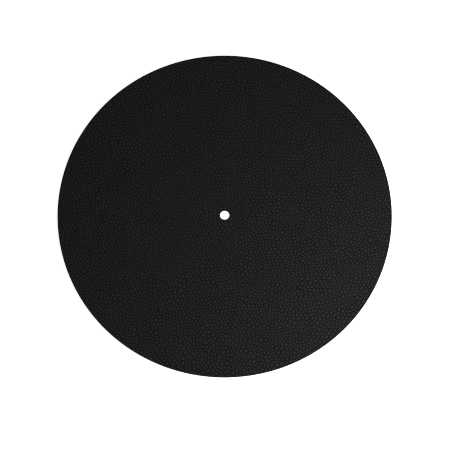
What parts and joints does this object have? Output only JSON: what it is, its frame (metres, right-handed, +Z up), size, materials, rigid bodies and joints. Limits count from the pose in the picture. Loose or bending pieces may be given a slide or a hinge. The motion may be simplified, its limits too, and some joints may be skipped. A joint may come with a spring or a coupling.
{
  "type": "turntable mat",
  "caption": "Round flat mat of black pebbled leather with a centre hole for the record spindle; it lies on a turntable platter under the record.",
  "frame": {"origin": "centre of the flesh side, on the spindle's axis, at the height of the platter that the mat lies on", "axes": "+Z up out of the grain side, along the spindle; X and Y lie in the mat"},
  "size_m": [0.3, 0.3, 0.002],
  "materials": {
    "grain_leather": "black, pebbled grain, semi-matt"
  },
  "bodies": {
    "root": {"mat": "grain_leather"}
  },
  "joints": []
}
